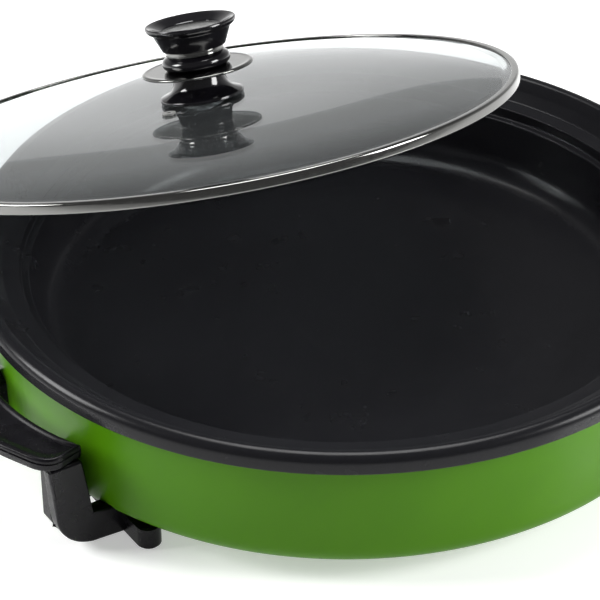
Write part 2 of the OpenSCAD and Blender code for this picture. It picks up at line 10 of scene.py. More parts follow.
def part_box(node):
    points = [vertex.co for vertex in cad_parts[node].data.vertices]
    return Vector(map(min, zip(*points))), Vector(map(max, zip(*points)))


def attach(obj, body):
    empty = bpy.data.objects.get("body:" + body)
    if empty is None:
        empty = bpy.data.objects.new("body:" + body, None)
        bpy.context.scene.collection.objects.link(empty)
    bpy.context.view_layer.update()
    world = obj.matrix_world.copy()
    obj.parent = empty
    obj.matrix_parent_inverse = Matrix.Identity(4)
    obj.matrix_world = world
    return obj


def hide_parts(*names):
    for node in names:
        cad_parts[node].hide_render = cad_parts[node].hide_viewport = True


bl_info = {
    "name": "Electric griddle pan",
    "version": (1, 0, 0),
    "blender": (4, 5, 0),
    "location": "View3D > Sidebar > Griddle",
    "description": "Builds the visible pieces, finishes and stage of an electric griddle pan",
    "category": "Add Mesh",
}

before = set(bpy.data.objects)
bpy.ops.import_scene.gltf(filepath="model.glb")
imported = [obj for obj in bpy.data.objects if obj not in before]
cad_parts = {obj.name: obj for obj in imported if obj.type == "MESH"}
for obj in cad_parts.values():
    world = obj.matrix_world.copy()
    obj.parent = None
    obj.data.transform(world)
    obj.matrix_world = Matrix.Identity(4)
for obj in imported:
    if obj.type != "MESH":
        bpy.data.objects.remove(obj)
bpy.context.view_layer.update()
MM = 0.001
TURNS = 256
PAN_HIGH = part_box("pan")[1]
CASE_LOW, CASE_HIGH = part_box("outer_casing")
GRIP_LOW, GRIP_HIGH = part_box("right_grip")
GRIP_SPAN = GRIP_HIGH.x
RIM_R = PAN_HIGH.x
RIM_TOP = PAN_HIGH.z
HARD_EDGE = 30             # degrees between two faces, past which a moulding's edge is rounded
HOLE_REACH = 7 * MM        # how far from a hole's axis edges stay sharp
CASING_CLEAR = 0.6 * MM    # how far outside the casing edges stay sharp


def mm(value, text, name):
    """A length property in metres, from a default in millimetres."""
    return bpy.props.FloatProperty(name=name, description=text, default=value * MM,
                                   subtype="DISTANCE", unit="LENGTH", precision=5)


def colour(hex_code, text, name):
    """A colour property whose default is an sRGB hex value."""
    return bpy.props.FloatVectorProperty(name=name, description=text, default=linear(hex_code)[:3],
                                         subtype="COLOR", size=3, min=0, max=1)


def linear(hex_code):
    """An sRGB hex value as linear RGBA: each channel is ((c + 0.055) / 1.055) to the power 2.4,
    or c / 12.92 when dark."""
    channels = [int(hex_code[i:i + 2], 16) / 255 for i in (0, 2, 4)]
    return tuple(c / 12.92 if c <= 0.04045 else ((c + 0.055) / 1.055) ** 2.4 for c in channels) + (1.0,)


# ---------------------------------------------------------------- mesh tools

def softened(corners, closed=False, steps=6):
    """Rounds a profile's corners. Each corner is (a, b, reach): the outline leaves the straight side at
    reach before the corner and joins the next side at reach after it, along
    (1 - t)^2 start + 2 t (1 - t) corner + t^2 end."""
    data = np.asarray(corners, float)
    p, reach = data[:, :2], data[:, 2:3]
    before, after = np.roll(p, 1, axis=0), np.roll(p, -1, axis=0)
    if not closed:
        before[0], after[-1] = p[0], p[-1]
    to_before, to_after = before - p, after - p
    long_before = np.maximum(np.linalg.norm(to_before, axis=1, keepdims=True), 1e-12)
    long_after = np.maximum(np.linalg.norm(to_after, axis=1, keepdims=True), 1e-12)
    start = p + to_before / long_before * np.minimum(reach, long_before * 0.49)
    end = p + to_after / long_after * np.minimum(reach, long_after * 0.49)
    t = np.linspace(0, 1, steps)[None, :, None]
    curve = (1 - t) ** 2 * start[:, None] + 2 * t * (1 - t) * p[:, None] + t ** 2 * end[:, None]
    flat = curve.reshape(-1, 2)
    keep = np.r_[True, np.linalg.norm(np.diff(flat, axis=0), axis=1) > 1e-7]
    return flat[keep]


def surface(name, points, wrap_rows=False, wrap_cols=False, sharp=35):
    """A mesh from a grid of points (rows, columns, 3), joined by quads; rows or columns may close on
    themselves. Points that fall together, as at a pole, become one, and the faces point outwards."""
    rows, cols = points.shape[:2]
    index = np.arange(rows * cols).reshape(rows, cols)
    if wrap_rows:
        index = np.vstack([index, index[:1]])
    if wrap_cols:
        index = np.hstack([index, index[:, :1]])
    quads = np.stack([index[:-1, :-1], index[1:, :-1], index[1:, 1:], index[:-1, 1:]], axis=-1)
    mesh = bpy.data.meshes.new(name)
    mesh.from_pydata(points.reshape(-1, 3), [], quads.reshape(-1, 4).tolist())
    return finished(name, mesh, sharp)


def finished(name, mesh, sharp=35):
    """Merges doubles, turns the faces outwards, shades smooth with sharp edges past an angle of sharp
    degrees, and makes the object."""
    work = bmesh.new()
    work.from_mesh(mesh)
    bmesh.ops.remove_doubles(work, verts=work.verts, dist=2e-6)
    bmesh.ops.dissolve_degenerate(work, dist=1e-7, edges=work.edges)
    bmesh.ops.recalc_face_normals(work, faces=work.faces)
    work.to_mesh(mesh)
    work.free()
    mesh.polygons.foreach_set("use_smooth", np.ones(len(mesh.polygons), bool))
    mesh.set_sharp_from_angle(angle=math.radians(sharp))
    obj = bpy.data.objects.new(name, mesh)
    bpy.context.scene.collection.objects.link(obj)
    return obj


def revolved(name, profile, place=None, turns=TURNS, closed=False, sharp=35):
    """A profile of (radius, height) turned round the z axis: x = r cos a, y = r sin a, z = h. place is a
    4x4 that sets it down."""
    a = np.linspace(0, 2 * np.pi, turns, endpoint=False)
    r, h = profile[:, 0][:, None], profile[:, 1][:, None]
    points = np.stack([r * np.cos(a), r * np.sin(a), h + 0 * a], axis=-1)
    return surface(name, placed(points, place), wrap_rows=closed, wrap_cols=True, sharp=sharp)


def vertices(mesh):
    """A mesh's vertex places as an (n, 3) array."""
    points = np.empty(len(mesh.vertices) * 3, np.float32)
    mesh.vertices.foreach_get("co", points)
    return points.reshape(-1, 3)


def placed(points, place):
    """Points carried by a 4x4 transform: turned by its 3x3 part, then moved."""
    if place is None:
        return points
    m = np.array(place, float)
    return points @ m[:3, :3].T + m[:3, 3]


def eased(name, source, width, tests):
    """A copy of a CAD node's mesh with its flat triangles merged and its hard edges rounded by a bevel of
    the given width. Each test takes the edges' middles (n, 3) and gives every edge a weight of 0 or 1; an
    edge is rounded only where all of them give 1."""
    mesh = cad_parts[source].data.copy()
    mesh.materials.clear()
    work = bmesh.new()
    work.from_mesh(mesh)
    bmesh.ops.remove_doubles(work, verts=work.verts, dist=1e-5)
    bmesh.ops.dissolve_limit(work, angle_limit=math.radians(1.5), verts=work.verts, edges=work.edges)
    work.to_mesh(mesh)
    work.free()
    mesh.polygons.foreach_set("use_smooth", np.ones(len(mesh.polygons), bool))
    mesh.set_sharp_from_angle(angle=math.radians(HARD_EDGE))
    hard = np.zeros(len(mesh.edges), bool)
    mesh.attributes["sharp_edge"].data.foreach_get("value", hard)
    ends = np.empty(2 * len(mesh.edges), np.int32)
    mesh.edges.foreach_get("vertices", ends)
    middles = vertices(mesh)[ends.reshape(-1, 2)].mean(1)
    weight = hard.astype(np.float32)
    for test in tests:
        weight = np.minimum(weight, test(middles))
    weights = mesh.attributes.new("bevel_weight_edge", "FLOAT", "EDGE")
    weights.data.foreach_set("value", weight.astype(np.float32))
    obj = bpy.data.objects.new(name, mesh)
    bpy.context.scene.collection.objects.link(obj)
    bevel = obj.modifiers.new("eased_edges", "BEVEL")
    bevel.width, bevel.segments, bevel.limit_method = width, 4, "WEIGHT"
    bevel.harden_normals = True
    bevel.use_clamp_overlap = False
    return obj


def off_casing(middles):
    """No rounding where a piece lies on the casing: 0 inside a radius just past the casing's side, else 1."""
    return (np.hypot(middles[:, 0], middles[:, 1]) > CASE_HIGH.x + CASING_CLEAR).astype(np.float32)


def hole_axes():
    """Plan positions (x, y) of the screws and pads in a right leg frame, on its positive side: the middle of
    the box along x, and half its width in from its far edge along y, as every one of them is round. They are
    rounded to a tenth of a millimetre, because the box of a faceted circle falls a little short."""
    boxes = [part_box(name) for name in ("right_grip_screws", "right_bar_screws", "right_foot_pads")]
    axes = np.array([((low.x + high.x) / 2, high.y - (high.x - low.x) / 2) for low, high in boxes])
    return np.round(axes, 4)


def off_holes(middles):
    """No rounding round the screw and pad recesses: 0 within HOLE_REACH of one of their axes, else 1."""
    plan = np.abs(middles[:, None, :2])
    return (np.linalg.norm(plan - hole_axes(), axis=2).min(1) > HOLE_REACH).astype(np.float32)


def settle(obj, body, nodes, material):
    """Gives a piece its finish, sets it on its body and hides the CAD nodes that it stands for."""
    obj.data.materials.clear()
    obj.data.materials.append(material)
    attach(obj, body)
    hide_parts(*nodes)
    return obj


def dress(nodes, material):
    """Gives carried-over CAD nodes a finish."""
    for name in nodes:
        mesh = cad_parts[name].data
        mesh.materials.clear()
        mesh.materials.append(material)


# ---------------------------------------------------------------- material tools

def node(tree, kind, links=(), **settings):
    """Adds a node. Each setting is one of its attributes or, after in_, one of its inputs by name or number;
    links are (input, output socket) pairs."""
    made = tree.nodes.new(kind)
    for key, value in settings.items():
        if key.startswith("in_"):
            target = key[3:]
            made.inputs[int(target) if target.isdigit() else target.replace("_", " ")].default_value = value
        else:
            setattr(made, key, value)
    for socket, source in links:
        tree.links.new(source, made.inputs[socket])
    return made


def patches(tree, size_mm, detail, rough, low, high, first, last):
    """Soft patches about size_mm across: noise on the object's own coordinates, whose values from low to high
    are stretched to run from first to last."""
    place = node(tree, "ShaderNodeTexCoord").outputs["Object"]
    cloud = node(tree, "ShaderNodeTexNoise", [("Vector", place)], in_Scale=1 / (size_mm * MM),
                 in_Detail=detail, in_Roughness=rough).outputs[0]
    return node(tree, "ShaderNodeMapRange", [(0, cloud)], in_1=low, in_2=high,
                in_3=first, in_4=last).outputs[0]


def shaded(name, shades=None, tint=None, sheen=None, grain=None, **fixed):
    """A finish of one Principled shader. Its colour runs between two shades over the patches of tint
    (size_mm, detail, rough, low, high), and its roughness over those of sheen (the same, then first and
    last). grain is a bump from noise (size_mm, detail, rough, strength, depth_mm). Fixed values go on the
    shader's own sockets."""
    material = bpy.data.materials.new(name)
    material.use_nodes = True
    tree = material.node_tree
    tree.nodes.clear()
    shader = node(tree, "ShaderNodeBsdfPrincipled", **{"in_" + key: value for key, value in fixed.items()})
    node(tree, "ShaderNodeOutputMaterial", [(0, shader.outputs[0])])
    if tint:
        mix = node(tree, "ShaderNodeMix", [(0, patches(tree, *tint, 0.0, 1.0))], data_type="RGBA",
                   in_6=shades[0], in_7=shades[1])
        tree.links.new(mix.outputs[2], shader.inputs["Base Color"])
    if sheen:
        tree.links.new(patches(tree, *sheen), shader.inputs["Roughness"])
    if grain:
        size_mm, detail, rough, strength, depth_mm = grain
        place = node(tree, "ShaderNodeTexCoord").outputs["Object"]
        cloud = node(tree, "ShaderNodeTexNoise", [("Vector", place)], in_Scale=1 / (size_mm * MM),
                     in_Detail=detail, in_Roughness=rough).outputs[0]
        bump = node(tree, "ShaderNodeBump", [("Height", cloud)], in_Strength=strength,
                    in_Distance=depth_mm * MM)
        tree.links.new(bump.outputs[0], shader.inputs["Normal"])
    return material


def shade(key):
    """One of the scene's finish colours as RGBA."""
    return (*getattr(bpy.context.scene.griddle_colours, key), 1.0)


def coated_aluminium():
    """Sprayed and baked PTFE coating on cast aluminium: near black, satin, with a fine mineral speckle."""
    return shaded("ptfe_coated_aluminium", (shade("coating"), shade("coating_light")),
                  tint=(1.2, 3, 0.6, 0.15, 0.85), sheen=(18, 3, 0.55, 0.3, 0.7, 0.20, 0.28),
                  grain=(0.9, 2, 0.6, 0.25, 0.05), Specular_IOR_Level=0.15)


def green_lacquer():
    """Leaf green stoving lacquer on steel sheet: full colour, soft gloss, the faint waviness of a spray."""
    return shaded("green_stoving_lacquer", (shade("lacquer"), shade("lacquer_light")),
                  tint=(60, 2, 0.5, 0.3, 0.7), sheen=(30, 2, 0.5, 0.3, 0.7, 0.30, 0.40),
                  grain=(2.5, 1, 0.4, 0.12, 0.05), Specular_IOR_Level=0.1)


def resin(name, smoothest, roughest, grain, gloss):
    """A near-black phenolic resin whose roughness wanders between two values, with a fine grain of the given
    strength."""
    return shaded(name, (shade("resin"), shade("resin_light")), tint=(8, 3, 0.6, 0.35, 0.7),
                  sheen=(12, 3, 0.6, 0.3, 0.7, smoothest, roughest), grain=(0.7, 2, 0.6, grain, 0.04),
                  Specular_IOR_Level=gloss)


def satin_phenolic():
    """Compression-moulded phenolic resin with a satin skin, as on the grips."""
    return resin("satin_phenolic_resin", 0.22, 0.32, 0.08, 0.15)


def polished_phenolic():
    """Phenolic resin polished after moulding, as on the knob."""
    return resin("polished_phenolic_resin", 0.08, 0.14, 0.04, 0.5)


def polished_steel():
    """Polished stainless steel: mirror-like, with very faint wipe marks."""
    return shaded("polished_stainless_steel", sheen=(5, 3, 0.6, 0.3, 0.7, 0.07, 0.16),
                  grain=(1.5, 2, 0.5, 0.06, 0.02), Base_Color=shade("steel"), Metallic=1.0)


def plated_steel():
    """Zinc-plated steel: pale blue-grey spangle about 3 mm across, half matt."""
    material = shaded("zinc_plated_steel", sheen=(6, 3, 0.6, 0.3, 0.7, 0.28, 0.42),
                      grain=(1.5, 2, 0.5, 0.1, 0.03), Metallic=1.0)
    tree = material.node_tree
    place = node(tree, "ShaderNodeTexCoord").outputs["Object"]
    cells = node(tree, "ShaderNodeTexVoronoi", [("Vector", place)], in_Scale=1 / (3 * MM)).outputs[0]
    share = node(tree, "ShaderNodeMapRange", [(0, cells)], in_1=0.0, in_2=0.8, in_3=0.0, in_4=1.0).outputs[0]
    mix = node(tree, "ShaderNodeMix", [(0, share)], data_type="RGBA",
               in_6=linear("9FA3A6"), in_7=linear("BDC0C2"))
    tree.links.new(mix.outputs[2], tree.nodes["Principled BSDF"].inputs["Base Color"])
    return material


def heated_steel():
    """Drawn stainless tube that has been hot: dull, with straw and brown heat tints."""
    return shaded("heat_tinted_stainless_tube", (linear("8A8378"), linear("A9A6A0")),
                  tint=(25, 3, 0.6, 0.35, 0.65), sheen=(3, 3, 0.6, 0.3, 0.7, 0.25, 0.45), Metallic=1.0)


def clear_glass():
    """Toughened soda-lime glass with a breath of steam on it: clear, faintly grey, smooth."""
    return shaded("toughened_glass", sheen=(40, 2, 0.5, 0.3, 0.7, 0.0, 0.03), Base_Color=shade("glass"),
                  Transmission_Weight=0.975, IOR=1.42)


def foot_rubber():
    """Moulded rubber: black, matt, with a fine grain."""
    return shaded("moulded_rubber", (linear("141414"), linear("1E1E1E")), tint=(3, 3, 0.6, 0.35, 0.7),
                  sheen=(4, 3, 0.6, 0.3, 0.7, 0.6, 0.8), grain=(0.8, 2, 0.6, 0.3, 0.08))


def steatite():
    """Unglazed steatite: off-white ceramic, matt."""
    return shaded("unglazed_steatite", (linear("E6E0D2"), linear("F1ECE0")), tint=(2, 3, 0.6, 0.35, 0.7),
                  sheen=(4, 3, 0.6, 0.3, 0.7, 0.55, 0.7))


def seal_silicone():
    """Cast silicone: smoky grey, soft sheen."""
    return shaded("cast_silicone", (linear("6E6E6C"), linear("7B7B79")), tint=(3, 2, 0.5, 0.35, 0.7),
                  sheen=(3, 2, 0.5, 0.3, 0.7, 0.35, 0.5))


FINISHES = {}


def finish_of(maker):
    """One shared material for each maker function."""
    if maker.__name__ not in FINISHES:
        FINISHES[maker.__name__] = maker()
    return FINISHES[maker.__name__]


# ---------------------------------------------------------------- the lid's own frame

def lid_frame():
    """The 4x4 of the lid's own frame, from the CAD band: its normal is the direction in which the band is
    thinnest, and its origin is the middle of the band's lower edge."""
    points = vertices(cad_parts["lid_band"].data).astype(float)
    rough = (points.min(0) + points.max(0)) / 2
    axes = np.linalg.svd(points - rough, full_matrices=False)[2]
    normal = axes[2] * np.sign(axes[2][2])
    down = np.array([0, 0, -1.0]) + normal * normal[2]
    down = down / np.linalg.norm(down)
    side = np.cross(normal, down)
    turned = points @ np.stack([down, side, normal]).T
    low, high = turned.min(0), turned.max(0)
    middle = np.array([(low[0] + high[0]) / 2, (low[1] + high[1]) / 2, low[2]])
    m = np.eye(4)
    m[:3, :3] = np.stack([down, side, normal]).T
    m[:3, 3] = m[:3, :3] @ middle
    return m


LID = lid_frame()


def lid_height(node_name, top=True):
    """Height of a CAD node's top or bottom along the lid's own axis."""
    local = (vertices(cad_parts[node_name].data) - LID[:3, 3]) @ LID[:3, 2]
    return float(local.max() if top else local.min())


# ---------------------------------------------------------------- sizes a user may change

class PanSizes(bpy.types.PropertyGroup):
    depth: mm(52, "Depth of the cooking floor below the rim", "Depth")
    floor_t: mm(4, "Thickness of the pan's floor", "Floor thickness")
    wall: mm(3, "Wall thickness", "Wall")
    rim_h: mm(11, "Height of the rim's upright face", "Rim height")
    rim_w: mm(13.5, "Width of the rim to the first line inside", "Rim width")
    ledge_w: mm(6.5, "Width of the sloping ledge", "Ledge width")
    ledge_fall: mm(5, "How far the ledge falls", "Ledge fall")
    seat_r: mm(184.8, "Radius of the lid's seat", "Seat radius")
    seat_w: mm(4.5, "Width of the lid's seat", "Seat width")
    seat_fall: mm(6.6, "Depth of the seat under the ledge", "Seat depth")
    lean: mm(8, "How far the wall leans in", "Wall lean")
    curve: mm(14, "Curve between wall and floor", "Floor curve")


class CasingSizes(bpy.types.PropertyGroup):
    taper: mm(2, "How much narrower the casing is at its foot", "Taper")
    sheet: mm(1.5, "Sheet thickness", "Sheet")
    corner: mm(14, "Radius of the lower corner", "Corner")
    hole_r: mm(140, "Radius of the opening in the bottom", "Opening")
    flange: mm(6, "Width of the flange under the rim", "Flange")


class GripSizes(bpy.types.PropertyGroup):
    straight: mm(26, "Half length of the straight middle of the outer edge", "Straight middle")
    half: mm(68.5, "Half length over the ends", "Half length")
    back: mm(7.5, "How much shorter the grip is at its root", "Root")
    slant: mm(18.5, "How far the outer edge falls back towards the ends", "Slant")
    corner: mm(14, "Reach of the end corners", "Corner")
    gap: mm(15, "Width of the finger gap", "Finger gap")
    bow: mm(140, "Radius of the bow that the inner edge follows", "Bow")
    lip: mm(7, "Width of the raised edge", "Lip")
    dish: mm(1.6, "Depth of the dished top", "Dish")
    edge: mm(1.6, "Rounding of the top and bottom edges", "Edge rounding")
    seam: mm(0.7, "Depth of the groove round the outer side", "Groove")
    seam_drop: mm(3, "How far the groove lies under the top", "Groove place")
    root: mm(2, "How far the grip's ends reach into the casing's side", "Root depth")
    bend: mm(18, "Reach of the two bends in the outer edge", "Bend reach")


class LidSizes(bpy.types.PropertyGroup):
    glass_t: mm(5, "Thickness of the glass", "Glass")
    band_t: mm(0.8, "Sheet thickness of the band", "Band sheet")
    band_lip: mm(4.5, "Width of the band's lips", "Band lip")
    rise: mm(9, "Rise of the glass to its middle", "Rise")
    flat_r: mm(25.5, "Radius of the flat middle of the glass", "Flat middle")
    hole_r: mm(6, "Radius of the knob's hole in the glass", "Knob hole")


class KnobSizes(bpy.types.PropertyGroup):
    core_r: mm(3.3, "Radius of the hole for the knob's screw", "Screw hole")
    foot_r: mm(24.5, "Radius of the foot on the glass", "Foot")
    neck_r: mm(15, "Radius of the foot's neck", "Neck")
    guard_r: mm(32.9, "Radius of the hand guard", "Guard")
    guard_t: mm(1.4, "Sheet thickness of the hand guard", "Guard sheet")
    collar_r: mm(20, "Radius of the collar over the guard", "Collar")
    spacer_r: mm(17, "Radius of the bright spacer", "Spacer")
    cup_foot_r: mm(18.5, "Radius of the cup's foot", "Cup foot")
    cup_r: mm(26.8, "Radius of the cup at its widest", "Cup")
    bowl_r: mm(17.3, "Radius of the flat bottom of the cup's bowl", "Bowl")
    bowl_depth: mm(5.5, "Depth of the cup's bowl", "Bowl depth")


class FinishColours(bpy.types.PropertyGroup):
    coating: colour("111113", "Ground of the pan's coating", "Coating")
    coating_light: colour("1B1B1E", "Speckle in the pan's coating", "Coating speckle")
    lacquer: colour("3E6D05", "Deeper shade of the casing's lacquer", "Lacquer")
    lacquer_light: colour("437208", "Lighter shade of the casing's lacquer", "Lacquer light")
    resin: colour("0C0B0E", "Deeper shade of the black resin", "Resin")
    resin_light: colour("131216", "Lighter shade of the black resin", "Resin light")
    steel: colour("767674", "Polished steel of the band and the knob", "Steel")
    glass: colour("C4CACB", "Tint of the lid's glass", "Glass")


class StageSettings(bpy.types.PropertyGroup):
    azimuth: bpy.props.FloatProperty(name="Azimuth", description="Where the camera stands round the pan",
                                     default=math.radians(-32.36), subtype="ANGLE")
    elevation: bpy.props.FloatProperty(name="Elevation", description="How steeply the camera looks down",
                                       default=math.radians(33.85), subtype="ANGLE")
    roll: bpy.props.FloatProperty(name="Roll", description="Turn of the camera about its own axis",
                                  default=math.radians(-0.56), subtype="ANGLE")
    distance: mm(1534, "From the camera to the point that it looks at", "Distance")
    aim_x: mm(-60, "Point that the camera looks at, along x, at the rim's height", "Aim x")
    aim_y: mm(-46, "Point that the camera looks at, along y, at the rim's height", "Aim y")
    lens: bpy.props.FloatProperty(name="Lens", description="Focal length", default=168.0, unit="CAMERA")
    floor: colour("F6F6F6", "Colour of the table", "Table")
    glow: bpy.props.FloatProperty(name="Glow", description="Light that the table itself gives",
                                  default=0.45)
    horizon: bpy.props.FloatProperty(name="Horizon", description="Brightness of the sweep at eye level",
                                     default=0.6)
    ceiling: bpy.props.FloatProperty(name="Ceiling", description="Brightness of the ceiling", default=0.16)
    overhead: bpy.props.FloatProperty(name="Overhead", description="Power of the overhead softbox",
                                      default=32.0, unit="POWER")
    sides: bpy.props.FloatProperty(name="Sides", description="Power of each side softbox", default=22.0,
                                   unit="POWER")


# ---------------------------------------------------------------- pieces

class GRIDDLE_OT_pan(bpy.types.Operator):
    """Builds the non-stick pan with its rolled rim"""
    bl_idname = "griddle.pan"
    bl_label = "Pan"

    def execute(self, context):
        s = context.scene.griddle_pan
        top, r = RIM_TOP, RIM_R
        round_r = s.rim_h / 2
        foot = top - s.rim_h
        line_r, line_z = r - s.rim_w, top - round_r - 0.2 * MM
        ledge_r, ledge_z = line_r - s.ledge_w, line_z - s.ledge_fall
        seat_z = ledge_z - s.seat_fall
        wall_r = s.seat_r - s.seat_w
        floor_z = top - s.depth
        under_z = floor_z - s.floor_t
        foot_r = wall_r - s.lean
        a = np.radians(np.linspace(126, 4, 22))
        bead = np.stack([r - round_r + round_r * np.cos(a), top - round_r + round_r * np.sin(a)], axis=1)
        inner = softened([(0, floor_z, 0), (foot_r, floor_z, s.curve), (wall_r, seat_z, 1 * MM),
                          (s.seat_r, seat_z, 1 * MM), (s.seat_r + 1 * MM, ledge_z - 0.8 * MM, 0.6 * MM),
                          (ledge_r, ledge_z, 0.9 * MM), (line_r, line_z, 0.8 * MM),
                          tuple(bead[0]) + (0.0,)], steps=8)
        outer = softened([tuple(bead[-1]) + (0.0,), (r, foot, 0.7 * MM), (ledge_r + s.wall, foot, 0),
                          (s.seat_r + s.wall, seat_z - s.wall, 1 * MM),
                          (wall_r + s.wall, seat_z - s.wall, 1 * MM),
                          (foot_r + s.wall, under_z, s.curve), (0, under_z, 0)], steps=8)
        pan = revolved("pan_body", np.vstack([inner, bead[1:-1], outer]), turns=360)
        settle(pan, "base", ["pan"], finish_of(coated_aluminium))
        return {"FINISHED"}


class GRIDDLE_OT_casing(bpy.types.Operator):
    """Builds the green casing"""
    bl_idname = "griddle.casing"
    bl_label = "Casing"

    def execute(self, context):
        s = context.scene.griddle_casing
        top, low, r = CASE_HIGH.z, CASE_LOW.z, CASE_HIGH.x
        foot_r, t = r - s.taper, s.sheet
        profile = softened([(s.hole_r, low, 0.3 * MM), (foot_r, low, s.corner), (r, top, 0.8 * MM),
                            (r - s.flange, top, 0.3 * MM), (r - s.flange, top - t, 0.3 * MM),
                            (r - t, top - t, 0.4 * MM), (foot_r - t, low + t, s.corner - t),
                            (s.hole_r, low + t, 0.3 * MM)], closed=True, steps=10)
        casing = revolved("casing_shell", profile, turns=360, closed=True)
        settle(casing, "base", ["outer_casing"], finish_of(green_lacquer))
        return {"FINISHED"}


def contour(points, count):
    """A polyline walked at even steps: count points at equal lengths along it."""
    points = np.asarray(points, float)
    lengths = np.r_[0, np.cumsum(np.linalg.norm(np.diff(points, axis=0), axis=1))]
    at = np.linspace(0, lengths[-1], count)
    return np.stack([np.interp(at, lengths, points[:, i]) for i in (0, 1)], axis=1)


def grip_outlines(s, end, casing_r, count):
    """Plan of a grip: an outer outline with rounded corners, and an inner one on a circle of the bow's
    radius, v = bow sin a, u = centre + bow cos a, both walked from one end of the grip to the other."""
    centre = casing_r + s.gap - s.bow
    root_u, root_v = casing_r - s.root, s.half - s.back
    lean = (s.half - root_v) / (end - s.slant - root_u)
    ahead = 4 * MM
    tip = np.array([root_u + ahead, root_v + lean * ahead])
    a = math.asin(min(1.0, tip[1] / s.bow))
    half = [(tip[0] + 1.2 * MM, tip[1] + 0.7 * MM, 0.0), (end - s.slant, s.half, s.corner),
            (end, s.straight, s.bend)]
    corners = half + [(u, -w, k) for u, w, k in half[::-1]]
    outer = contour(softened(corners, steps=12), count)
    turn = np.linspace(a - 0.012, -a + 0.012, count)
    inner = np.stack([centre + s.bow * np.cos(turn), s.bow * np.sin(turn)], axis=1)
    return outer, inner


def grip_section(s, low, top, width, lip):
    """Cross-section of a grip from its inner edge to its outer one, as rows of (distance from the inner edge,
    height) for every place along it: quarter rounds at the edges, a dish that falls as q^2 (3 - 2q) from the
    lip, and a groove of depth seam outside."""
    e, groove = s.edge, top - s.seam_drop
    turn = np.linspace(0, np.pi / 2, 6)
    fall = np.linspace(0, 1, 8)
    ease = fall ** 2 * (3 - 2 * fall)
    inner_lip = 0.45 * lip
    rows = [(e * (1 - np.cos(t)) + 0 * width, top - e + e * np.sin(t)) for t in turn]
    rows += [(e + inner_lip * q, top - s.dish * d) for q, d in zip(fall[1:], ease[1:])]
    across = width - 2 * e - inner_lip - lip
    rows += [(e + inner_lip + across * q, top - s.dish) for q in np.linspace(0, 1, 7)[1:-1]]
    rows += [(width - e - lip * q, top - s.dish * d) for q, d in zip(fall[::-1][:-1], ease[::-1][:-1])]
    rows += [(width - e * (1 - np.cos(t)), top - e + e * np.sin(t)) for t in turn[::-1]]
    rows += [(width - s.seam * d + 0 * width, groove + z * MM) for d, z in
             ((0, 0.7), (0.25, 0.6), (1, 0.5), (1, -0.5), (0.25, -0.6), (0, -0.7))]
    rows += [(width - e * (1 - np.cos(t)), low + e - e * np.sin(t)) for t in turn]
    rows += [(e * (1 - np.cos(t)) + 0 * width, low + e - e * np.sin(t)) for t in turn[::-1]]
    return rows


def grip_mesh(name, s, side):
    """A grip: its section is carried along the two outlines and drawn together to a rounded cap at each
    end."""
    count = 181
    out, inn = grip_outlines(s, GRIP_SPAN, CASE_HIGH.x, count)
    across = out - inn
    width = np.linalg.norm(across, axis=1)
    way = across / width[:, None]
    rows = grip_section(s, GRIP_LOW.z, GRIP_HIGH.z, width, np.minimum(s.lip, width * 0.3))
    grid = np.stack([np.c_[inn + way * np.broadcast_to(x, width.shape)[:, None],
                           np.broadcast_to(z, width.shape)] for x, z in rows])
    middle = (GRIP_LOW.z + GRIP_HIGH.z) / 2
    ends = []
    for i, step in ((0, 1), (-1, -1)):
        along = grid[:, i] - grid[:, i + step]
        along = along / np.linalg.norm(along, axis=1, keepdims=True)
        heart = grid[:, i].mean(0) * [1, 1, 0] + [0, 0, middle]
        shrink = s.edge / (GRIP_HIGH.z - GRIP_LOW.z) * 2
        caps = [heart + (grid[:, i] - heart) * (1 - shrink * (1 - math.cos(t))) + along * s.edge * math.sin(t)
                for t in np.linspace(0, math.pi / 2, 5)[1:]]
        caps.append(np.broadcast_to(caps[-1].mean(0), grid[:, i].shape))
        ends.append(np.stack(caps, axis=1))
    grid = np.concatenate([ends[0][:, ::-1], grid, ends[1]], axis=1)
    return surface(name, grid * [side, side, 1], wrap_rows=True, sharp=32)


class GRIDDLE_OT_grips(bpy.types.Operator):
    """Builds the two grips with their dished tops"""
    bl_idname = "griddle.grips"
    bl_label = "Grips"

    def execute(self, context):
        s = context.scene.griddle_grip
        for side, name in ((-1, "left_grip"), (1, "right_grip")):
            grip = grip_mesh(name + "_moulding", s, side)
            settle(grip, "base", [name], finish_of(satin_phenolic))
        return {"FINISHED"}


class GRIDDLE_OT_frames(bpy.types.Operator):
    """Eases the edges of the leg frames and the inlet shroud and gives them their finish"""
    bl_idname = "griddle.frames"
    bl_label = "Leg frames and shroud"

    def execute(self, context):
        rows = (("left_leg_frame", 1.6 * MM, (off_casing, off_holes)),
                ("right_leg_frame", 1.6 * MM, (off_casing, off_holes)),
                ("inlet_shroud", 0.7 * MM, (off_casing,)))
        for name, width, tests in rows:
            piece = eased(name + "_moulding", name, width, tests)
            settle(piece, "base", [name], finish_of(satin_phenolic))
        return {"FINISHED"}


class GRIDDLE_OT_hardware(bpy.types.Operator):
    """Gives the metal, rubber and ceramic fittings their finishes"""
    bl_idname = "griddle.hardware"
    bl_label = "Fittings"

    def execute(self, context):
        plated = ("_screws", "_nuts", "_studs", "_plates", "_screw", "_washer", "base_cover", "clamp_plate")
        dress([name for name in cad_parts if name.endswith(plated)], finish_of(plated_steel))
        dress(["heating_ring", "ring_bends", "cold_ends", "probe_guide"], finish_of(heated_steel))
        dress(["terminal_pins"], finish_of(polished_steel))
        dress(["pin_insulators"], finish_of(steatite))
        dress(["left_foot_pads", "right_foot_pads"], finish_of(foot_rubber))
        dress(["knob_gaskets", "vent_grommet"], finish_of(seal_silicone))
        return {"FINISHED"}


def dome(t):
    """Height of the glass as a share of its rise: 1 - 0.1 t^2 - 0.9 t^4, t running from its flat middle to
    its edge."""
    return 1 - 0.1 * t ** 2 - 0.9 * t ** 4


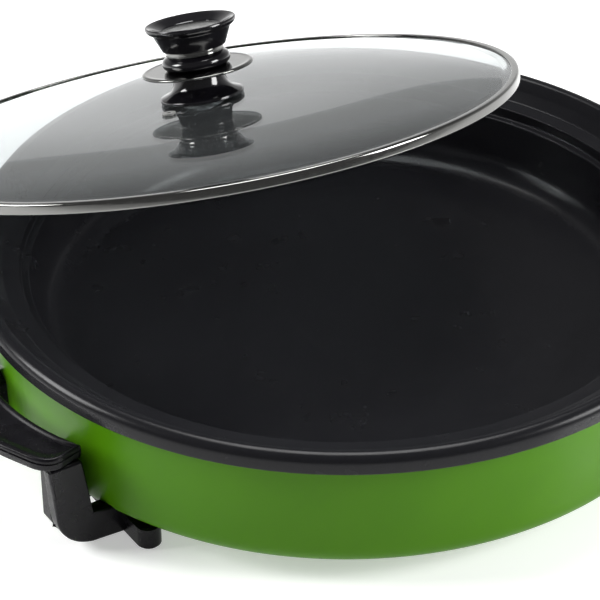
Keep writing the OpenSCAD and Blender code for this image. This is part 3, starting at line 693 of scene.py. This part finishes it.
class GRIDDLE_OT_lid(bpy.types.Operator):
    """Builds the glass dome and its steel band"""
    bl_idname = "griddle.lid"
    bl_label = "Lid"

    def execute(self, context):
        s = context.scene.griddle_lid
        local = (vertices(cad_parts["lid_band"].data) - LID[:3, 3]) @ LID[:3, :3]
        band_r = float(np.hypot(local[:, 0], local[:, 1]).max())
        glass_r = band_r - s.band_t
        dome_r = band_r - s.band_lip - 2.5 * MM
        t = np.linspace(0, 1, 48)
        reach = s.flat_r + t * (dome_r - s.flat_r)
        upper = np.stack([reach, s.band_t + s.glass_t + s.rise * dome(t)], axis=1)
        lower = upper - [0, s.glass_t]
        hole = np.array([[s.hole_r, upper[0, 1]], [s.hole_r, lower[0, 1]]])
        edge = softened([(*upper[-1], 0), (glass_r, upper[-1, 1], 1.5 * MM),
                         (glass_r, lower[-1, 1], 1.5 * MM), (*lower[-1], 0)], steps=6)
        profile = np.vstack([hole[:1], upper, edge[1:-1], lower[::-1], hole[1:]])
        glass = revolved("lid_pane", profile, LID, turns=288, closed=True, sharp=40)
        settle(glass, "lid", ["lid_glass"], finish_of(clear_glass))
        h = s.glass_t + 2 * s.band_t
        lip_r = band_r - s.band_lip
        ring = softened([(band_r, 0, 1.6 * MM), (band_r, h, 1.6 * MM), (lip_r, h, 0.4 * MM),
                         (lip_r, h - s.band_t, 0.1 * MM), (glass_r, h - s.band_t, 0.8 * MM),
                         (glass_r, s.band_t, 0.8 * MM), (lip_r, s.band_t, 0.1 * MM), (lip_r, 0, 0.4 * MM)],
                        closed=True, steps=7)
        band = revolved("lid_rim_band", ring, LID, turns=288, closed=True)
        settle(band, "lid", ["lid_band"], finish_of(polished_steel))
        return {"FINISHED"}


class GRIDDLE_OT_knob(bpy.types.Operator):
    """Builds the cup-shaped knob with its steel hand guard"""
    bl_idname = "griddle.knob"
    bl_label = "Knob"

    def execute(self, context):
        s = context.scene.griddle_knob
        black = (finish_of(polished_phenolic), "black_resin")
        steel = (finish_of(polished_steel), "polished_steel")
        foot, neck = lid_height("knob_foot", False), lid_height("knob_foot")
        guard = lid_height("knob_guard")
        collar_low, collar_top = lid_height("knob_collar", False), lid_height("knob_collar")
        cup_low, cup_top = lid_height("knob_cup", False), lid_height("knob_cup")
        spacer_top = lid_height("knob_spacer")
        sheet_low, bowl = collar_low - s.guard_t, cup_top - s.bowl_depth
        insert_r, cup_core_r = s.bowl_r - 0.1 * MM, s.core_r - 0.3 * MM
        rows = {
            "knob_foot": (*black, [
                (s.core_r, foot, 0), (s.foot_r, foot, 0.5 * MM), (s.foot_r, foot + 2 * MM, 0.8 * MM),
                (s.neck_r + 1.5 * MM, foot + 5 * MM, 5 * MM), (s.neck_r, neck - 2 * MM, 3 * MM),
                (s.neck_r + 1.5 * MM, neck, 0.5 * MM), (s.core_r, neck, 0)]),
            "knob_guard": (*steel, [
                (s.core_r, sheet_low, 0), (s.guard_r - 2.9 * MM, sheet_low, 0.5 * MM),
                (s.guard_r - 0.5 * MM, guard - 2.5 * MM, 0.8 * MM), (s.guard_r, guard - 1 * MM, 0.7 * MM),
                (s.guard_r - 1.7 * MM, guard - 0.5 * MM, 0.7 * MM),
                (s.guard_r - 3.9 * MM, collar_low, 1 * MM), (s.core_r, collar_low, 0)]),
            "knob_collar": (*black, [
                (s.core_r, collar_low, 0), (s.collar_r - 3 * MM, collar_low, 1.5 * MM),
                (s.collar_r, collar_low + 2 * MM, 2 * MM), (s.collar_r, collar_top - 2.5 * MM, 2.5 * MM),
                (s.collar_r - 4 * MM, collar_top, 1.5 * MM), (s.core_r, collar_top, 0)]),
            "knob_spacer": (*steel, [
                (s.core_r, collar_top, 0), (s.spacer_r, collar_top, 0.4 * MM),
                (s.spacer_r, spacer_top, 0.4 * MM), (s.core_r, spacer_top, 0)]),
            "knob_cup": (*black, [
                (cup_core_r, cup_low, 0), (s.cup_foot_r, cup_low, 0.6 * MM),
                (s.cup_r - 3.6 * MM, cup_top - 5 * MM, 1 * MM),
                (s.cup_r - 1.5 * MM, cup_top - 4 * MM, 1 * MM),
                (s.cup_r, cup_top - 2 * MM, 1 * MM), (s.cup_r - 0.4 * MM, cup_top, 0.9 * MM),
                (s.cup_r - 3 * MM, cup_top - 0.8 * MM, 1 * MM),
                (s.bowl_r + 0.2 * MM, bowl + 1.5 * MM, 1 * MM), (s.bowl_r, bowl, 0.2 * MM),
                (cup_core_r, bowl, 0)]),
            "knob_insert": (*steel, [
                (0, bowl, 0), (insert_r, bowl, 0.1 * MM), (insert_r, bowl + 1.4 * MM, 0.4 * MM),
                (10 * MM, bowl + 1 * MM, 3 * MM), (0, bowl + 0.8 * MM, 0)]),
        }
        for name, (material, slot, corners) in rows.items():
            profile = softened(corners, steps=8)
            closed = corners[0][0] > 0
            piece = revolved(name + "_turned", profile, LID, turns=128, closed=closed)
            settle(piece, "lid", [name], material)
        return {"FINISHED"}


def sweep_world(s, ahead):
    """A studio sweep: white at eye level in front of the camera, falling to a dim ceiling and a dim room
    behind it. Brightness is ceiling + (horizon - ceiling) * low * front, low and front being ramps of the
    direction's height and of its share along the camera's heading."""
    world = bpy.data.worlds.new("studio_sweep")
    world.use_nodes = True
    tree = world.node_tree
    coords = node(tree, "ShaderNodeTexCoord").outputs["Generated"]
    height = node(tree, "ShaderNodeSeparateXYZ", [(0, coords)]).outputs[2]
    along = node(tree, "ShaderNodeVectorMath", [(0, coords)], operation="DOT_PRODUCT", in_1=ahead)
    low = node(tree, "ShaderNodeMapRange", [(0, height)], in_1=0.10, in_2=0.45, in_3=1.0, in_4=0.0).outputs[0]
    front = node(tree, "ShaderNodeMapRange", [(0, along.outputs["Value"])],
                 in_1=-0.2, in_2=0.35, in_3=0.05, in_4=1.0).outputs[0]
    both = node(tree, "ShaderNodeMath", [(0, low), (1, front)], operation="MULTIPLY").outputs[0]
    strength = node(tree, "ShaderNodeMapRange", [(0, both)], in_1=0.0, in_2=1.0,
                    in_3=s.ceiling, in_4=s.horizon).outputs[0]
    tree.links.new(strength, tree.nodes["Background"].inputs[1])
    tree.nodes["Background"].inputs[0].default_value = (1, 1, 1, 1)
    return world


class GRIDDLE_OT_stage(bpy.types.Operator):
    """Lays the pale table, the soft lights and the camera"""
    bl_idname = "griddle.stage"
    bl_label = "Stage"

    def execute(self, context):
        s = context.scene.griddle_stage
        half, below = 6.0, 0.3 * MM
        corners = np.array([[[-1, -1, 0], [1, -1, 0]], [[-1, 1, 0], [1, 1, 0]]], float)
        table = surface("table_top", half * corners - [0, 0, below])
        floor = (*s.floor, 1)
        table.data.materials.append(shaded("glossy_white_laminate", Base_Color=floor, Roughness=0.14, IOR=1.8,
                                           Emission_Color=floor, Emission_Strength=s.glow))
        aim = Vector((s.aim_x, s.aim_y, RIM_TOP))
        back = Vector((math.sin(s.azimuth) * math.cos(s.elevation),
                       -math.cos(s.azimuth) * math.cos(s.elevation), math.sin(s.elevation)))
        camera = bpy.data.objects.new("camera", bpy.data.cameras.new("camera"))
        camera.data.lens, camera.data.sensor_width = s.lens, 36.0
        camera.data.clip_start, camera.data.clip_end = 0.05, 50
        turn = (-back).to_track_quat("-Z", "Y").to_matrix() @ Matrix.Rotation(s.roll, 3, "Z")
        camera.matrix_world = Matrix.Translation(aim + back * s.distance) @ turn.to_4x4()
        context.scene.collection.objects.link(camera)
        context.scene.camera = camera
        right = turn @ Vector((1, 0, 0))
        ahead = Vector((-back.x, -back.y, 0)).normalized()
        context.scene.world = sweep_world(s, ahead)
        # each softbox: metres to the camera's right, ahead and up from the pan's middle, side, power
        rows = (("overhead", 0.0, 0.45, 1.8, 1.0, s.overhead),
                ("left", -1.3, -0.1, 0.7, 0.6, s.sides),
                ("right", 1.3, -0.4, 0.7, 0.6, s.sides))
        for name, beside, forward, up, size, power in rows:
            where = right * beside + ahead * forward + Vector((0, 0, up))
            light = bpy.data.objects.new(name + "_softbox", bpy.data.lights.new(name + "_softbox", "AREA"))
            light.data.shape, light.data.size, light.data.energy = "SQUARE", size, power
            facing = (aim - where).to_track_quat("-Z", "Y").to_matrix().to_4x4()
            light.matrix_world = Matrix.Translation(where) @ facing
            context.scene.collection.objects.link(light)
        context.scene.view_settings.view_transform = "Standard"
        return {"FINISHED"}


class GRIDDLE_PT_panel(bpy.types.Panel):
    """Lists the pieces in the sidebar"""
    bl_label = "Electric griddle pan"
    bl_idname = "GRIDDLE_PT_panel"
    bl_space_type = "VIEW_3D"
    bl_region_type = "UI"
    bl_category = "Griddle"

    def draw(self, context):
        for cls in OPERATORS:
            self.layout.operator(cls.bl_idname)
        for key in GROUPS:
            box = self.layout.box()
            for prop in GROUPS[key].__annotations__:
                box.prop(getattr(context.scene, key), prop)


OPERATORS = (GRIDDLE_OT_stage, GRIDDLE_OT_pan, GRIDDLE_OT_casing, GRIDDLE_OT_grips, GRIDDLE_OT_frames,
             GRIDDLE_OT_hardware, GRIDDLE_OT_lid, GRIDDLE_OT_knob)
GROUPS = {"griddle_pan": PanSizes, "griddle_casing": CasingSizes, "griddle_grip": GripSizes,
          "griddle_lid": LidSizes, "griddle_knob": KnobSizes, "griddle_colours": FinishColours,
          "griddle_stage": StageSettings}


def register():
    """Registers the property groups, operators and panel."""
    for key, cls in GROUPS.items():
        bpy.utils.register_class(cls)
        setattr(bpy.types.Scene, key, bpy.props.PointerProperty(type=cls))
    for cls in (*OPERATORS, GRIDDLE_PT_panel):
        bpy.utils.register_class(cls)


def unregister():
    """Removes them again."""
    for cls in (GRIDDLE_PT_panel, *reversed(OPERATORS)):
        bpy.utils.unregister_class(cls)
    for key, cls in GROUPS.items():
        delattr(bpy.types.Scene, key)
        bpy.utils.unregister_class(cls)


def main():
    """Builds every piece in order."""
    register()
    for name in ("stage", "pan", "casing", "grips", "frames", "hardware", "lid", "knob"):
        getattr(bpy.ops.griddle, name)()


if __name__ == "__main__":
    main()
